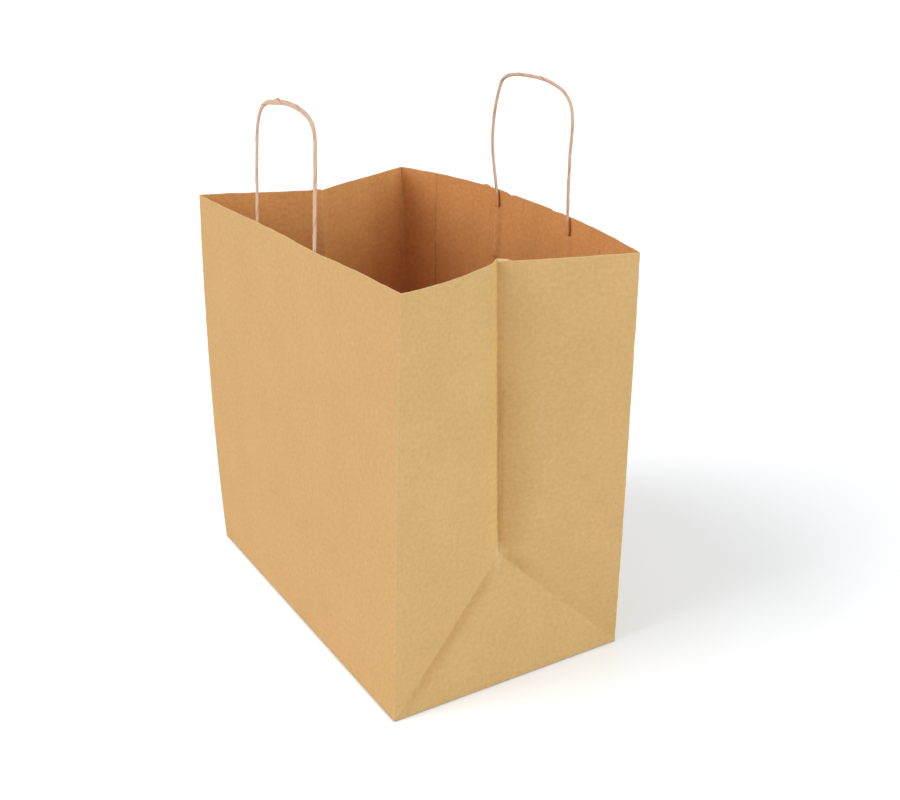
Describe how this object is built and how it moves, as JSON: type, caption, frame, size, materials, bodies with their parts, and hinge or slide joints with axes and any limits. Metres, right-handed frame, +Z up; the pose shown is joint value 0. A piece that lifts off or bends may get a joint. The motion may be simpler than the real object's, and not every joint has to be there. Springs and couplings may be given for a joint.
{
  "type": "paper carrier bag",
  "caption": "Open brown kraft paper carrier bag with a folded block bottom, pleated narrow sides and twisted-paper cord handles pasted inside the rim.",
  "frame": {"origin": "the centre of the base, on the surface that the bag stands on", "axes": "+X along the width, towards the pleated side at the right, +Y along the depth, towards the back panel with the seam, +Z up"},
  "size_m": [0.3242, 0.2198, 0.4208],
  "materials": {
    "kraft_paper": "matte brown kraft paper",
    "handle_strip_paper": "matte brown kraft paper",
    "cord_paper": "twisted pale kraft paper, slightly smooth"
  },
  "bodies": {
    "root": {"bag_body": "kraft_paper", "front_patch_outer": "handle_strip_paper", "front_patch_inner": "handle_strip_paper", "front_handle_cord": "cord_paper", "back_patch_outer": "handle_strip_paper", "back_patch_inner": "handle_strip_paper", "back_handle_cord": "cord_paper"}
  },
  "joints": []
}
